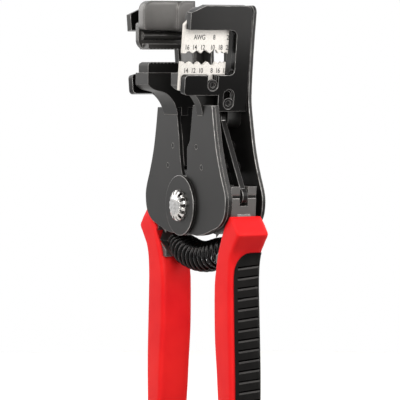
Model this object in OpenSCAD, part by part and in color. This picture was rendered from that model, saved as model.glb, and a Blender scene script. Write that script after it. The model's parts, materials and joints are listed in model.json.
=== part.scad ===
// Wire stripper pliers with two lever jaw heads on one main pivot.
// X runs across the tool (blade side is +X), Y to the back, Z up, with the origin on the pivot's
// axis at the flat rear rivet head. Lengths are in millimetres.

/* [Frame] */
// Half width of the body beside the pivot
half_w = 38.2; // [34:0.1:42]
// Height of the front plates above the pivot
plate_top = 42.5; // [40:0.1:44]
// Height of the back plates above the pivot
head_top = 84; // [80:0.1:90]
// Thickness of a frame plate
plate_t = 1.6; // [1.2:0.1:2]
// Clear space between the grip side's front and back plates
inner_w = 12.4; // [12:0.1:14]
// Running gap between plates that turn past each other
layer_gap = 0.15; // [0.1:0.05:0.3]
// Outward lean of both jaw heads, in degrees
lean_deg = 7.8; // [4:0.1:10]

/* [Pivot] */
// Radius of the main pivot pin
pin_r = 4; // [3:0.1:5]
// Radial clearance of every running pin
pin_clear = 0.05; // [0.02:0.01:0.1]
// Radius of the cover disc in front of the pivot
disc_r = 12.75; // [11:0.05:14]
// Thickness of the cover disc
disc_t = 1.5; // [1:0.1:2]
// Radius of the domed rivet cap
cap_r = 6.7; // [5.5:0.1:8]
// Height of the domed rivet cap
cap_h = 2.8; // [2:0.1:4]
// Number of teeth round the rivet cap
cap_teeth = 12; // [8:1:16]

/* [Jaws] */
// Depth from the middle plane to the front of the jaws
jaw_reach = 22; // [20:0.1:24]
// Thickness of a jaw side plate
jaw_plate_t = 3.8; // [3:0.1:4.5]
// Distance of a jaw side plate's outer face from the middle, at the lean's foot
jaw_out = 25.8; // [24:0.1:27]
// Height of the lean's foot above the pivot
lean_z = 49; // [46:0.1:52]
// Height of the lower blade's tips above the pivot
blade_z = 60.1; // [59:0.1:61]
// Opening between the tips of the two blades
blade_gap = 3.6; // [3:0.1:4]
// Height of the blade side's sliding jaw above its blade's tips
jaw_rise = 20.3; // [19:0.1:21]
// Height of the grip side's sliding jaw above its gripping face
grip_rise = 20.7; // [19:0.1:21]
// Opening between the two gripping faces
mouth_gap = 5.3; // [4.8:0.1:6]
// Length of a blade, front to back
blade_len = 21; // [19:0.1:22]
// Thickness of a blade
blade_t = 2; // [1.5:0.1:2.4]
// Radii of the stripping notches, front to back
notch_r = [0.95, 1.15, 1.35, 1.5, 0.75, 0.6];
// Radius of the jaw screws' heads
screw_r = 2.3; // [2:0.1:2.6]
// Slide travel of the blade jaw
blade_travel = 3.4; // [3:0.1:3.5]
// Slide travel of the grip jaw
grip_travel = 4.7; // [4:0.1:4.8]

/* [Struts] */
// Thickness of a strut
strut_t = 2.4; // [2:0.1:3]
// Width of a strut's bar
strut_w = 4.4; // [3.5:0.1:5]
// Radius of a strut's eyes
eye_r = 3.2; // [3:0.1:3.6]
// Radius of the strut pins
strut_pin_r = 2; // [1.5:0.1:2.1]
// Distance of the yoke pin inside the half width
yoke_in = 3.2; // [3:0.1:5]
// Height of the yoke pin above the pivot
yoke_z = 5; // [4:0.1:6]
// Distance of the jaw pin from the middle
lug_x = 15.8; // [15:0.1:17]
// Height of the jaw pin above the pivot
lug_z = 37; // [36:0.1:38]
// Play in the strut's upper eye, where the linkage is open
lug_play = 0.35; // [0.2:0.05:0.5]

/* [Handles] */
// Length of a handle below the pivot
handle_l = 103; // [95:1:115]
// Depth of a handle, front to back
handle_d = 14.9; // [13:0.1:16]
// Width of the yoke
yoke_w = 11.4; // [10:0.1:12]
// Width of the slot in the yoke
yoke_slot = 3.8; // [3.4:0.1:4.2]
// Depth that the black inlay is let into the grip
inlay_t = 2.4; // [1.5:0.1:3]
// Distance between the ribs of the inlay
rib_pitch = 4.3; // [3.5:0.1:6]
// Radius of the grooves between the ribs
rib_groove_r = 0.8; // [0.5:0.05:1]

/* [Spring] */
// Diameter of the spring's wire
wire_d = 1.7; // [1.4:0.1:1.9]
// Mean radius of the spring's coils
coil_r = 5; // [4.5:0.1:5.4]
// Number of turns in the spring
coil_turns = 15; // [10:1:16]
// Distance of the spring's ends inside the half width
spring_in = 11.7; // [10.5:0.1:13]
// Height of the spring's ends below the pivot
spring_end_z = -14.2; // [-15:0.1:-13]
// Depth of the spring's bow under its ends
spring_bow = 8; // [6:0.1:9]

/* [Hidden] */
$fn = 32;
over = 1; // overrun of every cut
seat = 0.02; // gap of a piece that sits fast in its hole
touch = 0.1; // running gap of flat faces

// Layers along Y, as distances from the middle plane
grip_y = inner_w / 2;
blade_y = grip_y + plate_t + layer_gap;
stack_y = blade_y + plate_t;
head_h = 2;
mid_y = -(stack_y + touch + disc_t + head_h);
hub_r = 11;
yoke_x = half_w - yoke_in;
spring_half = half_w - spring_in;
function plate_y(side) = side > 0 ? blade_y : grip_y;

// The jaws' places across the leaning head
plate_in = jaw_out - jaw_plate_t;
blade_in = plate_in - blade_t;
arm_in = 13.7;
grip_in = 11.2;
horn_in = 7.5;
grip_out = 16.5;
horn_out = 19.3;
spine_in = 16.5;
blade_room = 2.6; // room behind the blades, before the jaw block's spine
spine_front = blade_len + blade_room - jaw_reach;
jaw_top = blade_z + blade_gap + jaw_rise;
arm_h = 10.2; // height of a side plate's upper arm
arm_z = jaw_top - arm_h;
blade_top = arm_z + 0.46 * arm_h;
blade_low = 48.1;
blade_chamfer = 3.2;
lower_arm_z = 55;
lower_arm_low = 46.6;
tail_z = 39.8;
arm_in_front = 1; // the side plates' upper arms end this far behind the jaw's front
arm_front = arm_in_front - jaw_reach;
arm_drop = 2; // the blocks' arms end this far under the side plates' tops
tail_front = -(grip_y - 3 * touch);
window_back = 1;
window_r = 2.4;
corner_r = 1.6;
chamfer_y = 7;
chamfer_z = 3;
block_round = 4;
cheek_t = 1.5; // the grip block is thicker by this at its back
cheek_reach = 6.6;
block_top = 56;
screw_shank_r = 1.4;
screw_wall = 2; // steel left behind a guide screw's blind hole
screw_head_h = 1.5;
socket_r = 1.25;
screw_spots = [[-8.8, 50.9], [-1, 43.2]];
blade_screw_in = [6, 16];
blade_screw_y = [for (d = blade_screw_in) d - jaw_reach];
blade_screw_z = arm_z + 0.235 * arm_h;
pad_low_z = 60.5;
pad_high_z = pad_low_z + mouth_gap;
pad_h = 8.2; // height of the upper pad under its block
pad_top = pad_high_z + pad_h;
pad_over = 3.6; // the pad's plate overlaps the block by this
pad_round = 4;
lip_t = 2.4;
ridge_r = 1.7;
ridge_z = pad_top - ridge_r - 7 * touch;
pad_screw_r = 1.1;
pad_screw_z = pad_top + pad_over / 2;
grip_arm_top = pad_high_z + grip_rise;
pad_screw_in = 1.5; // the pad screws end this far inside the block
pad_groove_r = 0.55;
pad_teeth = 14;

// Colours
black_steel = [0.16, 0.16, 0.165];
dark_steel = [0.1, 0.1, 0.105];
blade_steel = [0.88, 0.87, 0.84];
chrome = [0.8, 0.8, 0.82];
red_grip = [0.85, 0.1, 0.1];
rubber = [0.13, 0.13, 0.13];

// Open curve through points, smooth at each, with n steps between two points
function bend(a, b, c, d, t) = ((2 * b) + (c - a) * t + (2 * a - 5 * b + 4 * c - d) * t * t
    + (3 * b - a - 3 * c + d) * t * t * t) / 2;
function curve(p, n = 5) = [for (i = [0:len(p) - 2], k = [0:n - 1])
    bend(p[max(i - 1, 0)], p[i], p[i + 1], p[min(i + 2, len(p) - 1)], k / n), p[len(p) - 1]];
// Arc about a centre, from one angle to another
function arc(c, r, from, to, n = 8) = [for (k = [0:n]) c + r * [cos(from + (to - from) * k / n),
    sin(from + (to - from) * k / n)]];

// A flat profile in X and Z, standing between two Y planes
module slab(y0, y1) translate([0, y1, 0]) rotate([90, 0, 0]) linear_extrude(y1 - y0) children();
// A flat profile in Y and Z, standing between two X planes
module side_slab(x0, x1) translate([x0, 0, 0]) rotate([90, 0, 90]) linear_extrude(x1 - x0) children();
// A rod along Y
module rod_y(x, z, r, y0, y1) translate([x, y1, z]) rotate([90, 0, 0]) cylinder(r = r, h = y1 - y0);
// A rod along X
module rod_x(y, z, r, x0, x1) translate([x0, y, z]) rotate([0, 90, 0]) cylinder(r = r, h = x1 - x0);
// Everything is drawn about the middle plane and placed once
module placed() translate([0, mid_y, 0]) children();
module on_side(side) mirror([side < 0 ? 1 : 0, 0, 0]) children();
// Cuts away what lies past a plane of the leaning head
module within(u) difference() {
    children();
    leaned() translate([u, -head_top, 0]) cube([head_top, 2 * head_top, 2 * head_top]);
}
module leaned() translate([jaw_out, 0, lean_z]) rotate([0, lean_deg, 0]) translate([-jaw_out, 0, -lean_z])
    children();

// Main pivot
module pivot_pin() color(dark_steel) placed()
    rod_y(0, 0, pin_r, -(stack_y + touch + disc_t), stack_y + touch + disc_t);
module pivot_disc() color(black_steel) placed() difference() {
    rod_y(0, 0, disc_r, -(stack_y + touch + disc_t), -(stack_y + touch));
    rod_y(0, 0, pin_r + seat, -(stack_y + touch + disc_t + over), -stack_y);
}
cap_notch_r = cap_r * PI / cap_teeth / 2;
module pivot_cap() color(chrome) placed() translate([0, -(stack_y + touch + disc_t), 0]) rotate([90, 0, 0])
    difference() {
        rotate_extrude() polygon(concat([[0, 0], [cap_r, 0], [cap_r, cap_h / 4]],
            [for (a = [10:10:90]) [cap_r * cos(a), cap_h / 4 + cap_h * 3 / 4 * sin(a)]]));
        for (k = [0:cap_teeth - 1]) rotate(k * 360 / cap_teeth) translate([cap_r, 0, -over])
            cylinder(r = cap_notch_r, h = cap_h + 2 * over);
    }
module rear_washer() color(black_steel) placed() difference() {
    rod_y(0, 0, disc_r, stack_y + touch, stack_y + touch + disc_t);
    rod_y(0, 0, pin_r + seat, stack_y, stack_y + touch + disc_t + over);
}
module rear_head() color(dark_steel) placed()
    rod_y(0, 0, cap_r, stack_y + touch + disc_t, stack_y + touch + disc_t + head_h);

// Frame plates: shares of half_w across and of plate_top upwards, the tall ones of head_top
outer_edge_shares = [[0.69, 1], [0.74, 0.76], [0.8, 0.54], [0.89, 0.33], [0.975, 0.17], [1, 0.06],
    [0.965, -0.08], [0.85, -0.175], [0.68, -0.225], [0.5, -0.27], [0.33, -0.29]];
blade_edge_shares = [[0.105, 0.35], [0.105, 0.575], [0.17, 0.64], [0.2, 0.78], [0.245, 1]];
grip_edge_shares = [[0.12, 0.35], [0.15, 0.48], [0.18, 0.7], [0.245, 1]];
head_edge_shares = [[0.8, 0.96], [0.755, 0.84], [0.715, 0.7], [0.69, 0.58]];
head_inner_share = 0.107;
head_round = 3;
hub_from_deg = -70;
hub_to_deg = -285;
function spread(shares, w, h) = [for (s = shares) [s[0] * w, s[1] * h]];
function inner_edge(side) = side > 0 ? spread(blade_edge_shares, half_w, plate_top)
    : curve(spread(grip_edge_shares, half_w, plate_top));
// The grip side's front plate ends lower, under the arm that slides down further
function front_top(side) = side > 0 ? plate_top : plate_top - (grip_travel - blade_travel);
module plate_low(side) intersection() {
    polygon(concat(curve(spread(outer_edge_shares, half_w, plate_top)),
        arc([0, 0], disc_r - seat, hub_from_deg, hub_to_deg, 30), inner_edge(side)));
    translate([-half_w, -half_w]) square([3 * half_w, half_w + front_top(side)]);
}
// The back plates go on up behind the jaws, with a narrow gap between the two
module plate_tall() polygon(concat(
    arc([half_w * head_edge_shares[0][0] - head_round, head_top - head_round], head_round, 90, 0, 6),
    curve(concat(spread(head_edge_shares, half_w, head_top), spread(outer_edge_shares, half_w, plate_top))),
    arc([0, 0], disc_r - seat, hub_from_deg, hub_to_deg, 30),
    [[half_w * head_inner_share, disc_r], [half_w * head_inner_share, head_top]]));
// Two spacers tie each pair of plates
spacer_r = 2.2;
spacer_spots = [[12.4, 25], [17, 16.5]];
module spacer_holes() for (p = spacer_spots) translate(p) circle(r = spacer_r / 2 + seat);

module front_plate(side) placed() on_side(side)
    slab(-(plate_y(side) + plate_t), -plate_y(side)) difference() {
        plate_low(side);
        circle(r = pin_r + pin_clear);
        spacer_holes();
    }
module back_plate(side) placed() on_side(side) slab(plate_y(side), plate_y(side) + plate_t)
    difference() {
        plate_tall();
        circle(r = pin_r + pin_clear);
        spacer_holes();
    }
module spacers(side) placed() on_side(side) for (p = spacer_spots) {
    rod_y(p[0], p[1], spacer_r, -plate_y(side) + (side > 0 ? plate_t + layer_gap : 0), plate_y(side));
    rod_y(p[0], p[1], spacer_r / 2, -(plate_y(side) + plate_t), plate_y(side) + plate_t);
}
module grip_front_plate() color(black_steel) front_plate(-1);
module grip_back_plate() color(black_steel) back_plate(-1);
module grip_spacers() color(dark_steel) spacers(-1);
module blade_front_plate() color(black_steel) front_plate(1);
module blade_back_plate() color(black_steel) back_plate(1);
module blade_spacers() color(dark_steel) spacers(1);
// A doubler plate lies behind the blade side's front plate, clear of the hub, and its inner edge
// is bent back to close the side
doubler_in = 6.4;
doubler_free = 1.1;
flange_shares = [[0.168, 0.37], [0.168, 0.64], [0.2, 0.78], [0.245, 0.99], [0.29, 0.99], [0.245, 0.78],
    [0.213, 0.64], [0.213, 0.37]];
module blade_inner_plate() color(black_steel) placed() {
    slab(-blade_y, -grip_y) difference() {
        plate_low(1);
        circle(r = disc_r + doubler_free);
        translate([-half_w, -half_w]) square([half_w + doubler_in, half_w * 3]);
        for (p = spacer_spots) translate(p) circle(r = spacer_r / 2 + seat);
    }
    slab(-grip_y - plate_t / 2, blade_y - touch) polygon(spread(flange_shares, half_w, plate_top));
}
// The grip side's lower jaw has a tail that closes its inner side the same way
tail_shares = [[0.13, 0.39], [0.15, 0.48], [0.18, 0.7], [0.235, 0.89], [0.235, 1.01], [0.265, 1.01],
    [0.262, 0.89], [0.225, 0.7], [0.195, 0.48], [0.175, 0.39]];

// Fixed lower jaws: a beak in front of the frame, let in over the front plates
beak_low_z = 37.8;
beak_step_z = 41.2;
// Shares of the beak's reach before the frame and of its height
beak_shares = [[0.13, 0.3], [0.4, 0.52], [0.81, 0.61], [1, 0.72]];
module beak_profile(side, top) {
    front = -(plate_y(side) + plate_t);
    back = min(spine_front - 2 * touch, lug_y - touch); // clear of the spine and of the lug
    difference() {
        polygon(concat([[-jaw_reach, top], [back, top],
            [back, beak_step_z], [-plate_y(side) / 2 + touch, beak_step_z],
            [-plate_y(side) / 2 + touch, beak_low_z], [front, beak_low_z]],
            curve(concat([[front, beak_low_z]], [for (s = beak_shares)
            [front - s[0] * (jaw_reach + front), beak_low_z + s[1] * (block_top - beak_low_z)]]))));
        translate([front - touch / 2, 0])
            square([-front - grip_y + touch, front_top(side) + touch]);
    }
}
module guide_holes(x0, x1) leaned()
    for (p = screw_spots) rod_x(p[0], p[1], screw_shank_r + seat, x0, x1);
module blade_lower_jaw() color(black_steel) placed() difference() {
    within(blade_in) side_slab(arm_in, jaw_out) beak_profile(1, block_top);
    guide_holes(arm_in + screw_wall, blade_in + over);
}
module grip_lower_jaw() color(black_steel) placed() on_side(-1) difference() {
    within(plate_in - touch) union() {
        slab(-grip_y + touch, grip_y - touch) polygon(spread(tail_shares, half_w, plate_top));
        side_slab(horn_in, horn_out) beak_profile(-1, block_top);
        side_slab(horn_out, jaw_out) intersection() {
            beak_profile(-1, block_top);
            translate([screw_spots[0][0] - jaw_plate_t, 0]) square([jaw_reach, head_top]);
        }
    }
    guide_holes(grip_out, plate_in + over);
}
// Gripping pads with teeth across the wire
pad_back = spine_front - 2 * touch;
module teeth(z) for (k = [0:pad_teeth - 1])
    translate([-jaw_reach + (k + 0.5) * (jaw_reach + pad_back) / pad_teeth, z])
        circle(r = pad_groove_r, $fn = 4);
module grip_lower_pad() color(dark_steel) placed() on_side(-1)
    side_slab(horn_in, grip_out) difference() {
        polygon(concat([[pad_back, pad_low_z], [pad_back, block_top], [-jaw_reach, block_top]],
            arc([corner_r - jaw_reach, pad_low_z - corner_r], corner_r, 180, 90, 4)));
        teeth(pad_low_z);
    }

// Screws that hold the lower jaws' outer piece and guide the sliding plates
module guide_screw(p, x0) difference() {
    union() {
        rod_x(p[0], p[1], screw_shank_r, x0, jaw_out - screw_head_h);
        rod_x(p[0], p[1], screw_r, jaw_out - screw_head_h, jaw_out - touch);
    }
    translate([jaw_out - screw_head_h * 0.8, p[0], p[1]]) rotate([0, 90, 0])
        cylinder(r = socket_r, h = screw_head_h, $fn = 6);
}
module blade_guide_screws() color(dark_steel) placed() leaned()
    for (p = screw_spots) guide_screw(p, arm_in + screw_wall + touch);
module grip_guide_screws() color(dark_steel) placed() on_side(-1) leaned()
    for (p = screw_spots) guide_screw(p, grip_out + touch);

// Sliding side plate of a jaw: a C with its mouth to the front and slots for the guide screws
module c_profile(side) {
    back = plate_y(side) - layer_gap;
    polygon(concat([[back, tail_z]],
        arc([back - head_round, jaw_top - head_round], head_round, 0, 90, 6),
        [[arm_front + chamfer_y, jaw_top], [arm_front, jaw_top - chamfer_z], [arm_front, arm_z]],
        arc([window_back - window_r, arm_z - window_r], window_r, 90, 0, 6),
        arc([window_back - window_r, lower_arm_z + window_r], window_r, 0, -90, 6),
        arc([corner_r - jaw_reach, lower_arm_z - corner_r], corner_r, 90, 180, 4),
        arc([corner_r - jaw_reach, lower_arm_low + corner_r], corner_r, 180, 270, 4),
        [[tail_front, lower_arm_low], [tail_front, tail_z]]));
}
module upslot(p, r, rise) {
    translate(p) circle(r = r);
    translate([p[0] - r, p[1]]) square([2 * r, rise]);
    translate([p[0], p[1] + rise]) circle(r = r);
}
module jaw_plate(side, travel) placed() on_side(side) leaned() difference() {
    side_slab(plate_in, jaw_out) c_profile(side);
    for (p = screw_spots) {
        side_slab(plate_in - over, jaw_out + over) upslot(p, screw_shank_r + touch, travel + touch);
        side_slab(jaw_out - screw_head_h - touch, jaw_out + over)
            upslot(p, screw_r + touch, travel + touch);
    }
}
module grip_jaw_plate() color(black_steel) jaw_plate(-1, grip_travel);
module blade_jaw_plate() color(black_steel) jaw_plate(1, blade_travel);

// Jaw block: the arm over the mouth, the spine behind it and the lug for the strut
lug_r = 4.2;
spine_low_z = 43.8;
lug_high_z = 47.8;
lug_y = strut_t / 2 + 3 * touch;
module lug(side) slab(lug_y, plate_y(side) - layer_gap) difference() {
    union() {
        translate([lug_x, lug_z]) circle(r = lug_r);
        polygon([[lug_x - lug_r, lug_z], [lug_x + lug_r, lug_z],
            [lug_x + lug_r, lug_high_z], [lug_x - lug_r * 0.3, lug_high_z]]);
    }
    translate([lug_x, lug_z]) circle(r = strut_pin_r + seat);
}
module jaw_spine(side, x0) side_slab(x0, head_top) translate([spine_front, spine_low_z])
    square([plate_y(side) - layer_gap - spine_front, jaw_top - arm_drop - spine_low_z]);
module blade_jaw_block() color(black_steel) placed() {
    lug(1);
    difference() {
        within(plate_in) union() {
            leaned() jaw_spine(1, spine_in);
            leaned() side_slab(arm_in, blade_in) polygon([[spine_front, arm_z],
                [spine_front, jaw_top - arm_drop], [arm_front + chamfer_y, jaw_top - arm_drop],
                [arm_front + chamfer_y / 2, jaw_top - arm_drop - chamfer_z],
                [arm_front + chamfer_y / 2, arm_z]]);
        }
        leaned() for (y = blade_screw_y)
            rod_x(y, blade_screw_z, screw_shank_r + seat, arm_in - over, plate_in);
    }
}
module grip_jaw_block() color(black_steel) placed() on_side(-1) {
    lug(-1);
    difference() {
        within(plate_in) union() {
            jaw_spine(-1, grip_in);
            side_slab(grip_in, grip_out) polygon(concat([[spine_front, pad_top],
                [spine_front, grip_arm_top]],
                arc([block_round - jaw_reach, grip_arm_top - block_round], block_round, 90, 180),
                arc([corner_r - jaw_reach, pad_top + corner_r], corner_r, 180, 270, 4)));
            side_slab(grip_in - cheek_t, grip_out) polygon(concat([[spine_front, pad_top],
                [spine_front, grip_arm_top]],
                arc([block_round - cheek_reach, grip_arm_top - block_round], block_round, 90, 180),
                [[-cheek_reach, pad_top]]));
        }
        for (y = blade_screw_y)
            rod_x(y, pad_screw_z, pad_screw_r + seat, grip_in + pad_screw_in, jaw_out);
    }
}
// The upper pad is a plate screwed to the block's outer face, with a ridge and a toothed lip
module grip_upper_pad() color(dark_steel) placed() on_side(-1) difference() {
    union() {
        side_slab(grip_out, horn_out) polygon(concat([[pad_back, pad_high_z]],
            arc([pad_round - jaw_reach, pad_high_z + pad_round], pad_round, 270, 180),
            arc([corner_r - jaw_reach, pad_top + pad_over - corner_r], corner_r, 180, 90, 4),
            [[pad_back, pad_top + pad_over]]));
        side_slab(grip_in, horn_out) polygon([[pad_round / 2 - jaw_reach, pad_high_z],
            [pad_round / 2 - jaw_reach, pad_high_z + lip_t], [pad_back, pad_high_z + lip_t],
            [pad_back, pad_high_z]]);
        translate([grip_out, ridge_r - jaw_reach, ridge_z]) rotate([-90, 0, 0])
            cylinder(r = ridge_r, h = jaw_reach - ridge_r + pad_back);
    }
    side_slab(grip_in - over, horn_out + over) teeth(pad_high_z);
    for (y = blade_screw_y) rod_x(y, pad_screw_z, pad_screw_r + seat, grip_in, horn_out + over);
}
module grip_pad_screws() color(dark_steel) placed() on_side(-1)
    for (y = blade_screw_y)
        rod_x(y, pad_screw_z, pad_screw_r, grip_in + pad_screw_in + touch, horn_out);
module blade_screws() color(dark_steel) placed() leaned()
    for (y = blade_screw_y) rod_x(y, blade_screw_z, screw_shank_r, arm_in, plate_in);

// Blades: flat plates with graded notches in their meeting edges, and a pointed tooth between two
notch_shares = [0.125, 0.305, 0.485, 0.7, 0.855, 0.955];
function notch_y(k) = k < 0 ? 0 : k < len(notch_shares) ? blade_len * notch_shares[k] : blade_len;
// Room on either side of a notch: half the way to the next one, less half a tooth's tip
function notch_room(k, m) = abs(notch_y(m) - notch_y(k)) / 2 - touch / 2;
module blade_profile(z0, z1, edge_z, front) difference() {
    translate([front, z0]) square([blade_len, z1 - z0]);
    for (k = [0:len(notch_r) - 1]) translate([front + notch_y(k), edge_z])
        mirror([0, edge_z > (z0 + z1) / 2 ? 1 : 0]) {
            circle(r = notch_r[k]);
            polygon([[-notch_room(k, k - 1), 0], [-notch_r[k] * 0.8, notch_r[k] * 0.6],
                [notch_r[k] * 0.8, notch_r[k] * 0.6], [notch_room(k, k + 1), 0]]);
        }
}
module lower_blade() color(blade_steel) placed() leaned() difference() {
    side_slab(blade_in, plate_in - touch)
        blade_profile(blade_low, blade_z, blade_z, -jaw_reach - 4 * touch);
    rod_x(screw_spots[0][0], screw_spots[0][1], screw_shank_r + seat, blade_in - over, plate_in);
}
module upper_blade() color(blade_steel) placed() leaned() difference() {
    side_slab(blade_in, plate_in) difference() {
        blade_profile(blade_z + blade_gap, blade_top, blade_z + blade_gap, -jaw_reach + 3 * touch);
        polygon([[-jaw_reach - over, blade_top - blade_chamfer - over],
            [-jaw_reach + blade_chamfer + over, blade_top + over], [-jaw_reach - over, blade_top + over]]);
    }
    for (y = blade_screw_y) rod_x(y, blade_screw_z, screw_shank_r + seat, blade_in - over, plate_in + over);
}

// Struts and their pins
pin_head_h = 1;
strut_dx = lug_x - yoke_x;
strut_dz = lug_z - yoke_z;
strut_len = sqrt(strut_dx * strut_dx + strut_dz * strut_dz);
strut_deg = atan2(strut_dz, strut_dx);
module strut(side) placed() on_side(side) slab(-strut_t / 2, strut_t / 2)
    translate([yoke_x, yoke_z]) rotate(strut_deg) difference() {
        union() {
            circle(r = eye_r);
            translate([strut_len, 0]) circle(r = eye_r);
            translate([0, -strut_w / 2]) square([strut_len, strut_w]);
        }
        circle(r = strut_pin_r + pin_clear);
        translate([strut_len, 0]) circle(r = strut_pin_r + lug_play);
    }
module jaw_pin(side) placed() on_side(side) {
    rod_y(lug_x, lug_z, strut_pin_r, -lug_y, plate_y(side) - layer_gap);
    rod_y(lug_x, lug_z, eye_r, -lug_y - pin_head_h, -lug_y);
}
module yoke_pin(side) placed() on_side(side)
    rod_y(yoke_x, yoke_z, strut_pin_r, -yoke_w / 2, yoke_w / 2);
module grip_strut() color(dark_steel) strut(-1);
module blade_strut() color(dark_steel) strut(1);
module grip_jaw_pin() color(dark_steel) jaw_pin(-1);
module blade_jaw_pin() color(dark_steel) jaw_pin(1);
module grip_yoke_pin() color(dark_steel) yoke_pin(-1);
module blade_yoke_pin() color(dark_steel) yoke_pin(1);

// Handles: the blade side's is drawn, and the grip side's is the same one turned about Z
module turned(side) rotate([0, 0, side < 0 ? 180 : 0]) children();
// Rows of a grip, in shares: height of handle_l, inner and outer edge of half_w, depth of handle_d
grip_shares = [[-0.032, 0.965, 1.02, 0.93], [-0.058, 0.885, 1.095, 0.98], [-0.083, 0.83, 1.16, 1],
    [-0.103, 0.795, 1.2, 1], [-0.126, 0.76, 1.15, 1], [-0.153, 0.73, 1.09, 1], [-0.177, 0.7, 1.038, 1],
    [-0.214, 0.665, 1.005, 0.99], [-0.252, 0.635, 0.995, 0.98], [-0.315, 0.6, 0.99, 0.98],
    [-0.437, 0.6, 1, 0.99], [-0.544, 0.615, 1.01, 1], [-0.66, 0.655, 1.02, 1], [-0.777, 0.68, 1.025, 0.98],
    [-0.874, 0.715, 1.02, 0.95], [-0.942, 0.75, 1, 0.86], [-0.985, 0.8, 0.95, 0.66],
    [-1, 0.85, 0.91, 0.35]];
grip_sides = 28;
grip_square = 7;
function pow_sign(v, p) = sign(v) * pow(abs(v), p);
function grip_row(t) = let (n = len(grip_shares) - 1, i = min(floor(t * n), n - 1), f = t * n - i)
    bend(grip_shares[max(i - 1, 0)], grip_shares[i], grip_shares[i + 1], grip_shares[min(i + 2, n)], f);
grip_rings = 34;
module grip_loft(extra) {
    rows = [for (k = [0:grip_rings]) grip_row(k / grip_rings)];
    pts = [for (r = rows) let (c = (r[1] + r[2]) / 2 * half_w, a = (r[2] - r[1]) / 2 * half_w + extra,
        b = r[3] * handle_d / 2 + extra) for (j = [0:grip_sides - 1]) let (q = 360 * j / grip_sides)
        [c + a * pow_sign(cos(q), 2 / grip_square), b * pow_sign(sin(q), 2 / grip_square),
        r[0] * handle_l]];
    n = grip_sides;
    polyhedron(pts, concat(
        [for (k = [0:grip_rings - 1], j = [0:n - 1])
            [k * n + j, k * n + (j + 1) % n, (k + 1) * n + (j + 1) % n]],
        [for (k = [0:grip_rings - 1], j = [0:n - 1]) [k * n + j, (k + 1) * n + (j + 1) % n, (k + 1) * n + j]],
        [for (j = [1:n - 2]) [0, j + 1, j]],
        [for (j = [1:n - 2]) [grip_rings * n, grip_rings * n + j, grip_rings * n + j + 1]]));
}
// The black inlay lies along the outer face and round its back corner, with slanting ribs
inlay_top_share = -0.178;
inlay_low_share = -0.93;
inlay_front = -5.2;
inlay_round = 6.5;
inlay_round_z = 9;
inlay_out = 0.25; // the inlay stands out from the grip by this
rib_slant = 5;
rib_front = -3.6;
function outer_at(share) = lookup(-share, [for (r = grip_shares) [-r[0], r[2]]]);
module inlay_bed(depth) intersection() {
    slab(inlay_front, handle_d) polygon(concat(
        [for (k = [0:16]) let (s = inlay_top_share + (inlay_low_share - inlay_top_share) * k / 16)
            [outer_at(s) * half_w - depth, s * handle_l]],
        [[half_w * 1.3, inlay_low_share * handle_l], [half_w * 1.3, inlay_top_share * handle_l]]));
    side_slab(0, 2 * half_w) polygon(concat(
        [for (a = [0:15:90]) [inlay_front + inlay_round * (1 - cos(a)),
            inlay_top_share * handle_l - inlay_round_z * (1 - sin(a))]],
        [[handle_d, inlay_top_share * handle_l], [handle_d, inlay_low_share * handle_l]],
        [for (a = [90:-15:0]) [inlay_front + inlay_round * (1 - cos(a)),
            inlay_low_share * handle_l + inlay_round * (1 - sin(a))]]));
}
rib_count = floor((inlay_top_share - inlay_low_share) * handle_l / rib_pitch) - 2;
module handle_inlay(side) color(rubber) placed() on_side(side) difference() {
    intersection() {
        grip_loft(inlay_out);
        inlay_bed(inlay_t);
    }
    for (k = [1:rib_count]) {
        z = inlay_top_share * handle_l - (k + 1 / 2) * rib_pitch;
        translate([outer_at(z / handle_l) * half_w + inlay_out + rib_groove_r / 4, rib_front, z])
            rotate([-90 + rib_slant, 0, 0]) cylinder(r = rib_groove_r, h = 2 * handle_d, $fn = 6);
    }
}
// Steel core: hub, yoke, spring seat and tang
yoke_edge = 0.8;
core_edge = 1;
core_top = yoke_z + eye_r + yoke_edge;
tang_low_share = -0.55;
yoke_slot_deep = 8.3; // depth of the yoke's slot inwards from its pin
hub_free = 2;
tang_t = 6;
cut_line_shares = [[0.93, 0], [0.8, -0.078], [0.72, -0.136], [0.645, -0.185], [0.6, -0.225]];
core_low_shares = [[0.95, -0.049], [0.92, -0.078], [0.7, -0.107]];
tang_shares = [[0.72, -0.097], [0.72, -0.024], [0.96, -0.024], [1, -0.068], [0.99, -0.126], [0.89, -0.194],
    [0.88, tang_low_share], [0.74, tang_low_share]];
module core_outline() {
    circle(r = hub_r);
    polygon(concat([[0, hub_r], [hub_r, core_top], [half_w - core_edge, core_top]],
        spread(core_low_shares, half_w, handle_l), [[hub_r, -hub_r * 0.8], [0, -hub_r]]));
}
seat_wall = 4; // steel below the spring's pocket
seat_low_z = spring_end_z - coil_r - seat_wall;
module tang_outline() polygon(spread(tang_shares, half_w, handle_l));
module seat_outline() polygon([[half_w * 0.6, seat_low_z], [half_w * 0.72, seat_low_z],
    [half_w * 0.86, -yoke_z], [half_w * 0.62, -yoke_z * 1.4], [half_w * 0.6, -yoke_z * 2]]);
module handle_core(side) color(black_steel) placed() turned(side) difference() {
    union() {
        slab(-grip_y + touch, -touch) core_outline();
        slab(-touch - seat, yoke_w / 2) difference() {
            core_outline();
            circle(r = hub_r + hub_free);
        }
        // spring seat
        slab(-yoke_w / 2, yoke_w / 2) seat_outline();
        // tang inside the grip
        slab(-tang_t / 2, tang_t / 2) tang_outline();
    }
    slab(-grip_y, 0) circle(r = pin_r + pin_clear);
    slab(-yoke_slot / 2, yoke_slot / 2) translate([yoke_x - yoke_slot_deep, yoke_z - eye_r - yoke_edge])
        square([half_w, half_w]);
    slab(-grip_y, grip_y) translate([yoke_x, yoke_z]) circle(r = strut_pin_r + seat);
    spring_pocket();
}
plate_free = 0.3;
squeeze_deg = 6.5;
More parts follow.
